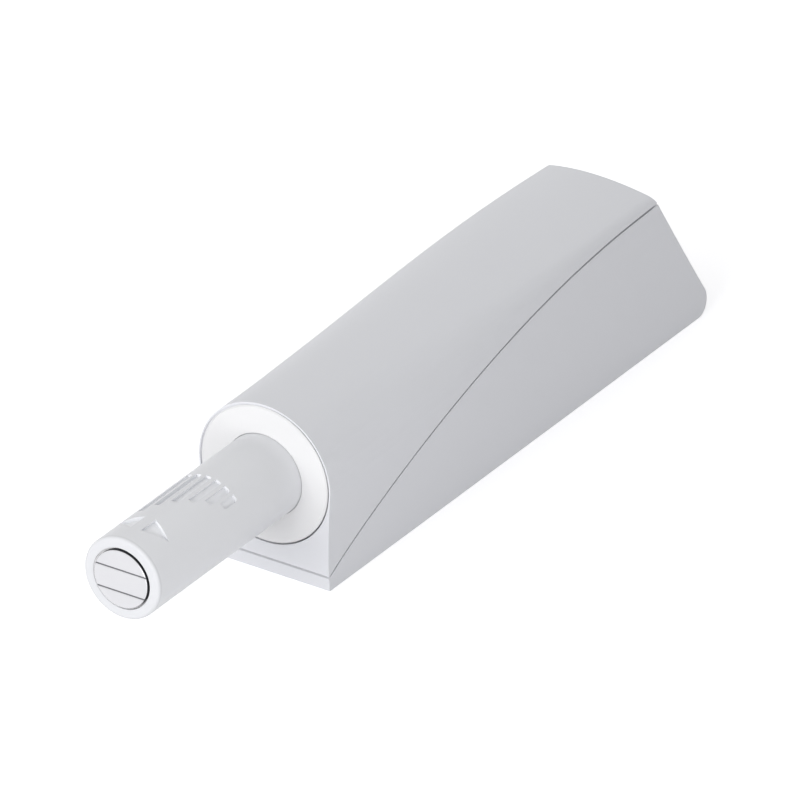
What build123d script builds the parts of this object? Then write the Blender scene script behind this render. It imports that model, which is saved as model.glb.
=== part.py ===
from build123d import *
import os
from math import atan, cos, pi, radians, sin, tan

os.makedirs("parts", exist_ok=True)

# Push to open catch, millimetres.  +Z is up from the mounting face, +Y runs back along
# the plunger's axis, and the origin is the middle of the sole's front edge.  Stations are
# distances behind the front face.

# ---- Cartridge: plunger, barrel and collar ------------------------------------------
plunger_radius = 4.0
plunger_wall = 1.1
plunger_out = 22.4  # how far the plunger stands out of the front face
plunger_inside = 3.0
tip_edge = 0.3
stroke = 20.0
adjust_travel = 1.5
slide_gap = 0.05
fit_gap = 0.1
press_gap = 0.02
barrel_step = 0.3  # the barrel's bore opens by this behind its neck
barrel_wall = 0.6
collar_flange = 1.8
collar_proud = 0.1
collar_thickness = 1.2
collar_edge = 0.12
collar_gap = 0.15
neck_length = 4.7
cap_thickness = 2.0
cap_play = 0.3
key_width = 1.2
key_height = 0.5
fin_width = 1.4
fin_proud = 0.45
fin_length = 4.0
fin_setback = 2.6
slot_play = 0.4
snap_width = 2.4
snap_length = 1.2
snap_proud = 0.4

# ---- Housing ------------------------------------------------------------------------
collar_rim = 0.3  # land of the cover outside the collar
collar_rise = 3.05  # collar's lowest point above the mounting face
shell_wall = 1.0
front_wall = 2.2
rear_wall = 1.2
rear_space = 2.9  # behind the cartridge's top edge
rear_slant = 30.4  # degrees that the rear face leans forward from vertical
heel_radius = 1.6
shoulder_radius_rear = 1.05
shoulder_sharpest = 0.35
crown_angle_front = 30.0
crown_angle_fall = 0.25  # degrees for each millimetre
side_lean_rear = 3.57  # degrees that the side walls lean in at the cartridge's end
side_lean_power = 1.8
waist_depth = 0.22  # hollow of the side walls at the front face
waist_residue = 0.03
waist_run = 40.0
loft_sections = 9
sole_thickness = 1.2
seam_gap = 0.22
seam_rise = 0.12  # seam above the floor's top at the front face
seam_drop = 1.8  # seam below the crown at the cartridge's end
seam_power = 2.07
seam_overrun = 1.0  # behind the cartridge's end, where the seam runs level
seam_points = 7
rib_thickness = 1.2
rib_offset = 8.0  # from the nearest fixing hole
stop_overlap = 2.0  # how far the rear stop reaches up behind the barrel

# ---- Fixing holes -------------------------------------------------------------------
hole_front = 12.0
hole_rear_inset = 6.0  # ahead of the cartridge's end
hole_radius = 1.6
countersink_radius = 2.9
boss_radius = 3.8
boss_height = 1.2

# ---- Cover hooks --------------------------------------------------------------------
hook_front_offset = 8.0  # behind the front rib
hook_rear_offset = 3.0  # behind the rear fixing hole
hook_length = 4.0
hook_thickness = 0.55
hook_reach = 2.0
hook_land = 0.5  # height of the land that joins a hook to the cover's wall
hook_land_reach = 0.4
hook_barb = 0.45
hook_barb_height = 0.6

# ---- Retaining clip -----------------------------------------------------------------
clip_thickness = 0.6
clip_groove = 0.35
clip_width = 0.9
clip_leg = 2.5
clip_gap = 0.06

# ---- Adjustment marks on the plunger ------------------------------------------------
mark_depth = 0.28
bar_count = 6
bar_pitch = 15.0  # degrees
bar_first = 47.0  # degrees from the top, towards +X
bar_setback = 8.9  # bars' common end, ahead of the front face
bar_shortest = 1.97
bar_growth = 1.16
bar_width = 0.68
bar_end_radius = 0.28
arrow_angle = 25.0  # degrees from the top
arrow_inset = 3.4  # from the plunger's tip
arrow_base = 2.26
arrow_height = 2.4

# ---- Magnet pack --------------------------------------------------------------------
tip_wall = 1.0
magnet_gap = 0.2
magnet_length = 3.5
magnet_proud = 0.17
pole_split_upper = 0.9
pole_split_lower = -1.3
glue_line = 0.14
plate_edge = 0.05
cushion_thickness = 0.4
seat_length = 5.0
seat_hole = 1.2

# ---- Depth adjuster -----------------------------------------------------------------
spindle_radius = 1.55
spindle_reach = 9.8  # ahead of the front face
nut_inset = 1.8  # behind the spindle's tip
nut_length = 5.0
ring_setback = 0.9
ring_key_length = 1.1
ring_key_width = 1.1
ring_slot_skin = 0.4  # left of the plunger's wall outside the keys' slots
ring_slot_play = 0.15
buffer_thickness = 0.6
buffer_lip = 0.3

# ---- Latch slider, wire and track ---------------------------------------------------
slider_gap = 0.08
wire_radius = 0.3
wire_bend = 0.5
wire_headroom = 1.0
wire_clearance = 0.2
wire_foot_gap = 0.1
wire_pivot_inset = 1.0
mouth_length = 0.63
nose_wall = 1.05
track_depth = 0.95
track_clearance = 0.32
track_web = 0.65
latch_swing = 1.488
latch_return = -1.3
latch_notch = 0.2
notch_setback = 1.45
return_join = 11.9  # behind the latched end
pocket_radius = 2.1
pocket_wall = 2.0

# ---- Ejection spring ----------------------------------------------------------------
spring_wire_radius = 0.2
spring_turns = 14
spring_gap = 0.25
rod_gap = 0.45
rod_play = 0.8
rod_seat = 1.5

# ---- Radii that follow from the plunger ---------------------------------------------
plunger_bore = plunger_radius - plunger_wall
magnet_radius = plunger_radius - tip_wall - magnet_gap
barrel_neck = plunger_radius + slide_gap
barrel_bore = plunger_radius + barrel_step
barrel_radius = barrel_bore + barrel_wall
collar_radius = barrel_radius + collar_flange
slider_radius = barrel_bore - slider_gap
half_width = collar_radius + collar_rim
housing_width = 2 * half_width
axis_height = collar_rise + collar_radius
crown_height_front = axis_height + half_width
crown_height_rear = axis_height + barrel_radius + fit_gap + shell_wall
section_height = 2 * axis_height  # taller than the housing, for cutting tools

# ---- Stations along the axis --------------------------------------------------------
plunger_tip = -plunger_out
barrel_front = collar_thickness - collar_proud
slider_front = neck_length + slide_gap + buffer_thickness + slide_gap
pocket_front = slider_front + pocket_wall
track_width = 2 * (wire_radius + track_clearance)
track_end = slider_front + nose_wall + track_width / 2
wire_tip = track_end + stroke
slider_rear = wire_tip + mouth_length
cap_front = slider_rear + stroke + cap_play
barrel_end = cap_front + cap_thickness
wire_pivot = barrel_end - wire_pivot_inset
fin_front = slider_front + fin_setback
hole_rear = barrel_end - hole_rear_inset
rib_front = hole_front + rib_offset
rib_rear = hole_rear - rib_offset
hook_front = rib_front + hook_front_offset
hook_rear = hole_rear + hook_rear_offset
seam_end = barrel_end + seam_overrun
rear_run = tan(radians(rear_slant))
inner_sole_length = barrel_end + rear_space + rear_run * (axis_height + barrel_radius)
sole_length = inner_sole_length + rear_wall / cos(radians(rear_slant))
seam_front_height = sole_thickness + seam_rise
seam_rear_height = crown_height_rear - seam_drop

# ---- Heights inside the barrel, from its axis ---------------------------------------
wire_height = barrel_bore - wire_headroom
slider_flat = wire_height - wire_radius - wire_clearance
track_floor = slider_flat - track_depth
pocket_drop = pocket_radius + track_web - track_floor
spring_height = axis_height - pocket_drop
spring_mean_radius = pocket_radius - spring_gap - spring_wire_radius
rod_radius = spring_mean_radius - spring_wire_radius - rod_gap
cartridge_axis = Axis((0, 0, axis_height), (0, 1, 0))


def section_sizes(station, inset):
    """Half width, crown height, shoulder radius, crown and lean angles at one station."""
    share = station / barrel_end
    height = crown_height_front - (crown_height_front - crown_height_rear) * share**2
    fade = (1 + cos(pi * min(share, 1))) / 2
    shoulder = shoulder_radius_rear + (half_width - shoulder_radius_rear) * fade
    shoulder = max(shoulder - inset, shoulder_sharpest)
    crown = radians(crown_angle_front - crown_angle_fall * station)
    lean = atan(tan(radians(side_lean_rear)) * share**side_lean_power)
    return half_width - inset / cos(lean), height - inset, shoulder, crown, lean


def draw_section(station, inset=0.0):
    """Housing section at one station: floor, two side walls, two shoulders and a crown."""
    floor = -shell_wall  # below the sole, which is cut flat afterwards
    width, height, shoulder, crown, lean = section_sizes(station, inset)
    # the crown's radius makes its arc tangent to both shoulders and those to the walls
    tilt = sin(crown + lean)
    crown_radius = (width * cos(lean) - shoulder - height * sin(lean) + shoulder * tilt) / (
        tilt - sin(lean)
    )
    centre_x = (crown_radius - shoulder) * sin(crown)
    centre_z = height - crown_radius + (crown_radius - shoulder) * cos(crown)
    join_x = centre_x + shoulder * sin(crown)
    join_z = centre_z + shoulder * cos(crown)
    middle = (crown + pi / 2 - lean) / 2
    mid_x = centre_x + shoulder * sin(middle)
    mid_z = centre_z + shoulder * cos(middle)
    wall_x = centre_x + shoulder * cos(lean)
    wall_z = centre_z + shoulder * sin(lean)
    foot_x = width - floor * tan(lean)
    waist = max(waist_depth * (1 - station / waist_run), waist_residue)
    waist_x = (foot_x + wall_x) / 2 - waist
    waist_z = (floor + wall_z) / 2
    Line((-foot_x, floor), (foot_x, floor))
    ThreePointArc((foot_x, floor), (waist_x, waist_z), (wall_x, wall_z))
    ThreePointArc((wall_x, wall_z), (mid_x, mid_z), (join_x, join_z))
    ThreePointArc((join_x, join_z), (0, height), (-join_x, join_z))
    ThreePointArc((-join_x, join_z), (-mid_x, mid_z), (-wall_x, wall_z))
    ThreePointArc((-wall_x, wall_z), (-waist_x, waist_z), (-foot_x, floor))


def seam_height(station):
    """Height of the parting line on the side of the housing."""
    share = max(1 - station / seam_end, 0)
    return seam_rear_height - (seam_rear_height - seam_front_height) * share**seam_power


def rear_face(clearance=0.0):
    """Points of the slanted rear face, at the sole and above the roof, moved forward."""
    foot = sole_length - clearance
    return (foot, 0), (foot - section_height * rear_run, section_height)


def hook_place(station):
    """Height of the parting line and the inside of the base's wall there."""
    width, _, _, _, lean = section_sizes(station, shell_wall)
    level = seam_height(station)
    return level, width - level * tan(lean) - fit_gap


def turned(*pairs):
    """Points of a lathe profile in the side plane, from (station, radius) pairs."""
    return [(station, axis_height + radius) for station, radius in pairs]


def radial_plane(angle, radius, station):
    """Plane that faces outwards from the cartridge axis, its local x along the axis."""
    out = Vector(sin(radians(angle)), 0, cos(radians(angle)))
    origin = Vector(0, station, axis_height) + out * radius
    return Plane(origin=origin, x_dir=(0, 1, 0), z_dir=out)


def finish(part, label):
    """Name a finished piece and write its file."""
    part.label = label
    export_step(part, f"parts/{label}.step")


# ---- Solids that the two shells are cut from ----------------------------------------
loft_step = (sole_length + shell_wall) / (loft_sections - 1)
with BuildPart() as envelope:
    for index in range(loft_sections):
        with BuildSketch(Plane.XZ.offset(-index * loft_step)):
            with BuildLine():
                draw_section(index * loft_step)
            make_face()
    loft()
    # flat sole, slanted rear face and the rounded heel between them
    rear_foot, rear_top = rear_face()
    with BuildSketch(Plane.YZ.offset(-housing_width)):
        with BuildLine():
            FilletPolyline((0, 0), rear_foot, rear_top, radius=heel_radius)
            Polyline(rear_top, (0, section_height), (0, 0))
        make_face()
    extrude(amount=2 * housing_width, mode=Mode.INTERSECT)

with BuildPart() as cavity:
    for index in range(loft_sections):
        station = front_wall + index * loft_step
        with BuildSketch(Plane.XZ.offset(-station)):
            with BuildLine():
                draw_section(station, shell_wall)
            make_face()
    loft()
    inner_foot, inner_top = rear_face(sole_length - inner_sole_length)
    with BuildSketch(Plane.YZ.offset(-housing_width)):
        with BuildLine():
            Polyline((0, 0), inner_foot, inner_top, (0, section_height), close=True)
        make_face()
        with Locations((0, sole_thickness)):
            Rectangle(sole_length, section_height, align=(Align.MIN, Align.MIN), mode=Mode.INTERSECT)
    extrude(amount=2 * housing_width, mode=Mode.INTERSECT)
    # ribs that cradle the barrel are left standing
    for station in (rib_front, rib_rear):
        with BuildSketch(Plane.XZ.offset(-station + rib_thickness / 2)):
            with Locations((0, axis_height)):
                Rectangle(2 * housing_width, section_height)
                Circle(barrel_radius + fit_gap, mode=Mode.SUBTRACT)
        extrude(amount=-rib_thickness, mode=Mode.SUBTRACT)


def draw_parting(lift, top):
    """Side outline of the space between the parting line, lifted, and a level."""
    last = sole_length + housing_width
    stations = [seam_end * step / (seam_points - 1) for step in range(seam_points)]
    points = [(station, seam_height(station) + lift) for station in stations]
    slope = (seam_rear_height - seam_front_height) * seam_power / seam_end
    Spline(*points, tangents=[(1, slope), (1, 0)])
    front = (-collar_proud, points[0][1])
    Polyline(points[-1], (last, points[-1][1]), (last, top), (-collar_proud, top), front, points[0])


# ---- Cover --------------------------------------------------------------------------
with BuildPart() as cover:
    add(envelope.part)
    add(cavity.part, mode=Mode.SUBTRACT)
    with BuildSketch(Plane.YZ.offset(-housing_width)):
        with BuildLine():
            draw_parting(seam_gap / 2, section_height)
        make_face()
    extrude(amount=2 * housing_width, mode=Mode.INTERSECT)
    # bore and recess that the cartridge and its collar sit in
    with BuildSketch(Plane.XZ):
        with Locations((0, axis_height)):
            Circle(collar_radius + collar_gap)
    extrude(amount=-barrel_front - fit_gap / 2, mode=Mode.SUBTRACT)
    with BuildSketch(Plane.XZ):
        with Locations((0, axis_height)):
            Circle(barrel_radius + fit_gap)
        with Locations((0, axis_height - barrel_radius)):
            Rectangle(key_width + fit_gap, 2 * (key_height + fit_gap))
    extrude(amount=-front_wall - fit_gap, mode=Mode.SUBTRACT)
    # hooks that reach down inside the base's walls
    for station in (hook_front, hook_rear):
        level, hook_x = hook_place(station)
        land = seam_height(station + hook_length / 2)
        for side in (-1, 1):
            with BuildSketch(Plane.XY.offset(level - hook_reach)):
                with Locations((side * (hook_x - hook_thickness / 2), station)):
                    Rectangle(hook_thickness, hook_length)
            extrude(amount=hook_reach + land - level + hook_land)
            with BuildSketch(Plane.XY.offset(land)):
                with Locations((side * hook_x, station)):
                    Rectangle(2 * hook_land_reach, hook_length)
            extrude(amount=hook_land)
            with BuildSketch(Plane.XY.offset(level - hook_reach)):
                with Locations((side * (hook_x + hook_barb / 2 - hook_thickness / 2), station)):
                    Rectangle(hook_thickness + hook_barb, hook_length)
            extrude(amount=hook_barb_height)
finish(cover.part, "cover")

# ---- Base ---------------------------------------------------------------------------
with BuildPart() as base:
    add(envelope.part)
    add(cavity.part, mode=Mode.SUBTRACT)
    with BuildSketch(Plane.YZ.offset(-housing_width)):
        with BuildLine():
            draw_parting(-seam_gap / 2, -1)
        make_face()
    extrude(amount=2 * housing_width, mode=Mode.INTERSECT)
    # bosses round the fixing holes
    with BuildSketch(Plane.XY.offset(sole_thickness)):
        with Locations((0, hole_front), (0, hole_rear)):
            Circle(boss_radius)
    extrude(amount=boss_height)
    boss_top = sole_thickness + boss_height
    with Locations((0, hole_front, boss_top), (0, hole_rear, boss_top)):
        CounterSinkHole(hole_radius, countersink_radius, counter_sink_angle=90)
    # open the saddles upwards so that the cartridge can be laid in
    with BuildSketch(Plane.XY.offset(axis_height)):
        with Locations((0, rib_front), (0, rib_rear)):
            Rectangle(2 * (barrel_radius + fit_gap), 2 * rib_thickness)
    extrude(amount=axis_height, mode=Mode.SUBTRACT)
    # windows that the cover's barbs snap into
    for station in (hook_front, hook_rear):
        level, hook_x = hook_place(station)
        with BuildSketch(Plane.XY.offset(level - hook_reach - fit_gap)):
            with Locations((-hook_x, station), (hook_x, station)):
                Rectangle(2 * (hook_barb + fit_gap), hook_length + 2 * fit_gap)
        extrude(amount=hook_barb_height + 2 * fit_gap, mode=Mode.SUBTRACT)
    # stop behind the cartridge
    with BuildSketch(Plane.XY.offset(sole_thickness)):
        with Locations((0, barrel_end + fit_gap + rib_thickness / 2)):
            Rectangle(housing_width - 4 * shell_wall, rib_thickness)
    extrude(amount=axis_height - barrel_radius + stop_overlap - sole_thickness)
finish(base.part, "base")

# ---- Barrel -------------------------------------------------------------------------
with BuildPart() as barrel:
    with BuildSketch(Plane.YZ):
        with BuildLine():
            Polyline(
                turned(
                    (-collar_proud, barrel_neck),
                    (-collar_proud, collar_radius - collar_edge),
                    (collar_edge - collar_proud, collar_radius),
                    (barrel_front, collar_radius),
                    (barrel_front, barrel_radius),
                    (front_wall + clip_gap, barrel_radius),
                    (front_wall + clip_gap, barrel_radius - clip_groove),
                    (front_wall + 3 * clip_gap + clip_thickness, barrel_radius - clip_groove),
                    (front_wall + 3 * clip_gap + clip_thickness, barrel_radius),
                    (barrel_end, barrel_radius),
                    (barrel_end, barrel_bore),
                    (neck_length, barrel_bore),
                    (neck_length, barrel_neck),
                ),
                close=True,
            )
        make_face()
    revolve(axis=cartridge_axis)
    # key that stops the cartridge from turning in the cover
    with BuildSketch(Plane.XZ.offset(-barrel_front)):
        with Locations((0, axis_height - barrel_radius)):
            Rectangle(key_width, 2 * key_height)
    extrude(amount=-(front_wall - barrel_front))
    with BuildSketch(Plane.XZ.offset(collar_proud)):
        with Locations((0, axis_height)):
            Circle(barrel_neck)
    extrude(amount=-neck_length, mode=Mode.SUBTRACT)
    # slot that guides the slider's fin
    slot_front = fin_front - slot_play
    slot_rear = fin_front + fin_length + stroke + slot_play
    with BuildSketch(Plane.XY):
        with Locations((0, (slot_front + slot_rear) / 2)):
            Rectangle(fin_width + 2 * fit_gap, slot_rear - slot_front)
    extrude(amount=axis_height, mode=Mode.SUBTRACT)
    # windows that the end cap snaps into
    with BuildSketch(Plane.YZ.offset(-barrel_radius)):
        with Locations((barrel_end - cap_thickness / 2, axis_height)):
            Rectangle(snap_length, snap_width)
    extrude(amount=2 * barrel_radius, mode=Mode.SUBTRACT)
finish(barrel.part, "barrel")

# ---- Retaining clip -----------------------------------------------------------------
with BuildPart() as retaining_clip:
    clip_inner = barrel_radius - clip_groove + clip_gap
    clip_outer = clip_inner + clip_width
    with BuildSketch(Plane.XZ.offset(-front_wall - 2 * clip_gap)):
        with Locations((0, axis_height)):
            Circle(clip_outer)
        with Locations((0, axis_height - clip_leg / 2)):
            Rectangle(2 * clip_outer, clip_leg)
        with Locations((0, axis_height)):
            Circle(clip_inner, mode=Mode.SUBTRACT)
        with Locations((0, axis_height - clip_outer / 2)):
            Rectangle(2 * clip_inner, clip_outer, mode=Mode.SUBTRACT)
        with Locations((0, axis_height - clip_leg - clip_outer)):
            Rectangle(4 * clip_outer, 2 * clip_outer, mode=Mode.SUBTRACT)
    extrude(amount=-clip_thickness)
finish(retaining_clip.part, "retaining_clip")

# ---- End cap ------------------------------------------------------------------------
with BuildPart() as end_cap:
    with BuildSketch(Plane.XZ.offset(-cap_front)):
        with Locations((0, axis_height)):
            Circle(slider_radius)
    extrude(amount=-cap_thickness)
    # snap lugs
    with BuildSketch(Plane.YZ.offset(-barrel_bore - snap_proud)):
        with Locations((barrel_end - cap_thickness / 2, axis_height)):
            Rectangle(snap_length - 2 * fit_gap, snap_width - 2 * fit_gap)
    extrude(amount=2 * (barrel_bore + snap_proud))
    # seat of the guide rod
    with BuildSketch(Plane.XZ.offset(-cap_front)):
        with Locations((0, spring_height)):
            Circle(rod_radius + press_gap)
    extrude(amount=-rod_seat, mode=Mode.SUBTRACT)
    # pivot hole and swing slot of the latch wire
    with BuildSketch(Plane.XY.offset(axis_height + track_floor - wire_bend)):
        with Locations((0, wire_pivot)):
            Circle(wire_radius + slide_gap)
    extrude(amount=barrel_bore, mode=Mode.SUBTRACT)
    wire_arm = wire_pivot - wire_tip
    slot_half = wire_radius + latch_swing * (wire_pivot - cap_front) / wire_arm + fit_gap
    slot_floor = axis_height + wire_height - wire_radius - wire_bend
    with BuildSketch(Plane.XY.offset(slot_floor)):
        with Locations((0, (cap_front + wire_pivot) / 2)):
            Rectangle(2 * slot_half, wire_pivot - cap_front + 2 * wire_radius + fit_gap)
    extrude(amount=barrel_bore, mode=Mode.SUBTRACT)
finish(end_cap.part, "end_cap")

# ---- Guide rod and ejection spring --------------------------------------------------
with BuildPart() as spring_guide:
    rod_front = pocket_front + stroke + rod_play
    with BuildSketch(Plane.XZ.offset(-rod_front)):
        with Locations((0, spring_height)):
            Circle(rod_radius)
    extrude(amount=-(cap_front + rod_seat - fit_gap - rod_front))
    chamfer(spring_guide.faces().sort_by(Axis.Y)[0].edges(), fit_gap * 2)
finish(spring_guide.part, "spring_guide")

spring_length = cap_front - pocket_front - 2 * spring_wire_radius - 2 * fit_gap
with BuildPart() as ejection_spring:
    with BuildLine():
        coil = Helix(
            pitch=spring_length / spring_turns,
            height=spring_length,
            radius=spring_mean_radius,
            center=(0, pocket_front + spring_wire_radius + fit_gap, spring_height),
            direction=(0, 1, 0),
        )
    with BuildSketch(Plane(origin=coil @ 0, z_dir=coil % 0)):
        Circle(spring_wire_radius)
    sweep()
finish(ejection_spring.part, "ejection_spring")

# ---- Latch slider -------------------------------------------------------------------
with BuildPart() as latch_slider:
    with BuildSketch(Plane.XZ.offset(-slider_front)):
        with Locations((0, axis_height)):
            Circle(slider_radius)
        with Locations((0, axis_height + slider_flat)):
            Rectangle(
                2 * slider_radius,
                slider_radius,
                align=(Align.CENTER, Align.MIN),
                mode=Mode.SUBTRACT,
            )
    extrude(amount=-(slider_rear - slider_front))
    # fin that runs in the barrel's slot
    with BuildSketch(Plane.XY.offset(axis_height - slider_radius - fin_proud)):
        with Locations((0, fin_front + fin_length / 2)):
            Rectangle(fin_width, fin_length)
    extrude(amount=2 * fin_proud)
    # spring pocket and spindle hole
    with BuildSketch(Plane.XZ.offset(-pocket_front)):
        with Locations((0, spring_height)):
            Circle(pocket_radius)
    extrude(amount=-(slider_rear - pocket_front), mode=Mode.SUBTRACT)
    with BuildSketch(Plane.XZ.offset(-slider_front)):
        with Locations((0, axis_height)):
            Circle(spindle_radius + press_gap)
    extrude(amount=-pocket_wall, mode=Mode.SUBTRACT)
    # latch track: slanted way in, hooked end, way back out round the heart, open mouth
    join_y = track_end + return_join
    join_x = latch_swing * (wire_tip - join_y) / stroke
    turning_y = track_end + notch_setback
    lanes = (
        ((0, wire_tip), (latch_swing, track_end)),
        ((latch_swing, track_end), (latch_notch, turning_y)),
        ((latch_notch, turning_y), (latch_return, track_end)),
        ((latch_return, track_end), (latch_return, turning_y)),
        ((latch_return, turning_y), (join_x, join_y)),
        ((0, wire_tip), (0, slider_rear + track_width)),
    )
    with BuildSketch(Plane.XY.offset(axis_height + track_floor)):
        for near, far in lanes:
            middle = ((near[0] + far[0]) / 2, (near[1] + far[1]) / 2)
            SlotCenterPoint(center=middle, point=far, height=track_width)
    extrude(amount=slider_radius, mode=Mode.SUBTRACT)
finish(latch_slider.part, "latch_slider")

# ---- Latch wire ---------------------------------------------------------------------
with BuildPart() as latch_wire:
    wire_level = axis_height + wire_height
    with BuildLine(Plane.YZ):
        wire_path = FilletPolyline(
            (wire_pivot, axis_height + track_floor),
            (wire_pivot, wire_level),
            (wire_tip, wire_level),
            (wire_tip, axis_height + track_floor + wire_foot_gap),
            radius=wire_bend,
        )
    with BuildSketch(Plane(origin=wire_path @ 0, z_dir=wire_path % 0)):
        Circle(wire_radius)
    sweep()
finish(latch_wire.part, "latch_wire")

# ---- Stop buffer --------------------------------------------------------------------
with BuildPart() as stop_buffer:
    with BuildSketch(Plane.XZ.offset(-neck_length - slide_gap)):
        with Locations((0, axis_height)):
            Circle(slider_radius)
            Circle(plunger_bore + buffer_lip, mode=Mode.SUBTRACT)
    extrude(amount=-buffer_thickness)
finish(stop_buffer.part, "stop_buffer")

# ---- Depth adjuster: spindle, nut and detent ring -----------------------------------
with BuildPart() as adjuster_spindle:
    with BuildSketch(Plane.XZ.offset(spindle_reach)):
        with Locations((0, axis_height)):
            Circle(spindle_radius)
    extrude(amount=-(spindle_reach + pocket_front - fit_gap))
    chamfer(adjuster_spindle.faces().sort_by(Axis.Y)[0].edges(), spindle_radius / 4)
finish(adjuster_spindle.part, "adjuster_spindle")

with BuildPart() as adjuster_nut:
    with BuildSketch(Plane.XZ.offset(spindle_reach - nut_inset)):
        with Locations((0, axis_height)):
            Circle(plunger_bore - press_gap)
            Circle(spindle_radius + slide_gap, mode=Mode.SUBTRACT)
    extrude(amount=-nut_length)
finish(adjuster_nut.part, "adjuster_nut")

with BuildPart() as detent_ring:
    with BuildSketch(Plane.XZ.offset(-ring_setback)):
        with Locations((0, axis_height)):
            Circle(plunger_bore - fit_gap)
    extrude(amount=-(slider_front - fit_gap - ring_setback))
    with BuildSketch(Plane.XZ.offset(-ring_setback)):
        with Locations((0, axis_height)):
            Rectangle(2 * (plunger_radius - ring_slot_skin - fit_gap), ring_key_width)
    extrude(amount=-ring_key_length)
    with BuildSketch(Plane.XZ.offset(-ring_setback)):
        with Locations((0, axis_height)):
            Circle(spindle_radius + slide_gap)
    extrude(amount=-(slider_front - ring_setback), mode=Mode.SUBTRACT)
finish(detent_ring.part, "detent_ring")

# ---- Marks engraved in the plunger ----------------------------------------------------
with BuildPart() as marks:
    # bars that share one end and grow from right to left
    for index in range(bar_count):
        length = bar_shortest + index * bar_growth
        angle = bar_first - index * bar_pitch
        with BuildSketch(radial_plane(angle, plunger_bore, -bar_setback - length / 2)) as bar:
            Rectangle(length, bar_width)
            fillet(bar.vertices().group_by(Axis.Y)[0], bar_end_radius)
        extrude(amount=plunger_radius)
    # turn arrows, one each way round
    for side in (1, -1):
        with BuildSketch(radial_plane(side * arrow_angle, plunger_bore, plunger_tip + arrow_inset)):
            with BuildLine():
                Polyline(
                    (-arrow_base / 2, side * arrow_height / 2),
                    (arrow_base / 2, side * arrow_height / 2),
                    (0, -side * arrow_height / 2),
                    close=True,
                )
            make_face()
        extrude(amount=plunger_radius)
    # all of them as deep as each other
    with BuildSketch(Plane.XZ):
        with Locations((0, axis_height)):
            Circle(2 * plunger_radius)
            Circle(plunger_radius - mark_depth, mode=Mode.SUBTRACT)
    extrude(amount=plunger_out, mode=Mode.INTERSECT)

# ---- Plunger ------------------------------------------------------------------------
pack_rear = plunger_tip - magnet_proud + magnet_length
seat_front = pack_rear + cushion_thickness
with BuildPart() as plunger:
    with BuildSketch(Plane.YZ):
        with BuildLine():
            Polyline(
                turned(
                    (plunger_tip, magnet_radius + magnet_gap),
                    (plunger_tip, plunger_radius),
                    (plunger_inside, plunger_radius),
                    (plunger_inside, plunger_bore),
                    (seat_front, plunger_bore),
                    (seat_front, magnet_radius + magnet_gap),
                ),
                close=True,
            )
        make_face()
    revolve(axis=cartridge_axis)
    tip_rim = plunger.faces().sort_by(Axis.Y)[0].edges().sort_by(SortBy.RADIUS)[-1]
    fillet(tip_rim, tip_edge)
    # slots that the detent ring's keys run in
    ring_slot_depth = plunger_inside - ring_setback + adjust_travel + cap_play
    with BuildSketch(Plane.XZ.offset(-plunger_inside)):
        with Locations((0, axis_height)):
            Rectangle(
                2 * (plunger_radius - ring_slot_skin), ring_key_width + 2 * ring_slot_play
            )
    extrude(amount=ring_slot_depth, mode=Mode.SUBTRACT)
    add(marks.part, mode=Mode.SUBTRACT)
finish(plunger.part, "plunger")

# ---- Magnet pack and its seat -------------------------------------------------------
bands = {
    "pole_plate_upper": (pole_split_upper + glue_line / 2, magnet_radius),
    "magnet": (pole_split_lower + glue_line / 2, pole_split_upper - glue_line / 2),
    "pole_plate_lower": (-magnet_radius, pole_split_lower - glue_line / 2),
}
for label, (low, high) in bands.items():
    with BuildPart() as band:
        with BuildSketch(Plane.XZ.offset(magnet_proud - plunger_tip)):
            with Locations((0, axis_height)):
                Circle(magnet_radius)
            with Locations((0, axis_height + (low + high) / 2)):
                Rectangle(2 * magnet_radius, high - low, mode=Mode.INTERSECT)
        extrude(amount=-magnet_length)
        chamfer(band.faces().sort_by(Axis.Y)[0].edges(), plate_edge)
    finish(band.part, label)

with BuildPart() as magnet_cushion:
    with BuildSketch(Plane.XZ.offset(-pack_rear)):
        with Locations((0, axis_height)):
            Circle(magnet_radius)
    extrude(amount=-cushion_thickness)
finish(magnet_cushion.part, "magnet_cushion")

with BuildPart() as magnet_seat:
    with BuildSketch(Plane.XZ.offset(-seat_front)):
        with Locations((0, axis_height)):
            Circle(plunger_bore - press_gap)
            Circle(seat_hole, mode=Mode.SUBTRACT)
    extrude(amount=-seat_length)
finish(magnet_seat.part, "magnet_seat")
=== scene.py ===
import logging
import math
from dataclasses import dataclass
from enum import Enum
from functools import cache

import bmesh
import bpy
import numpy as np
from mathutils import Matrix, Vector


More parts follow.
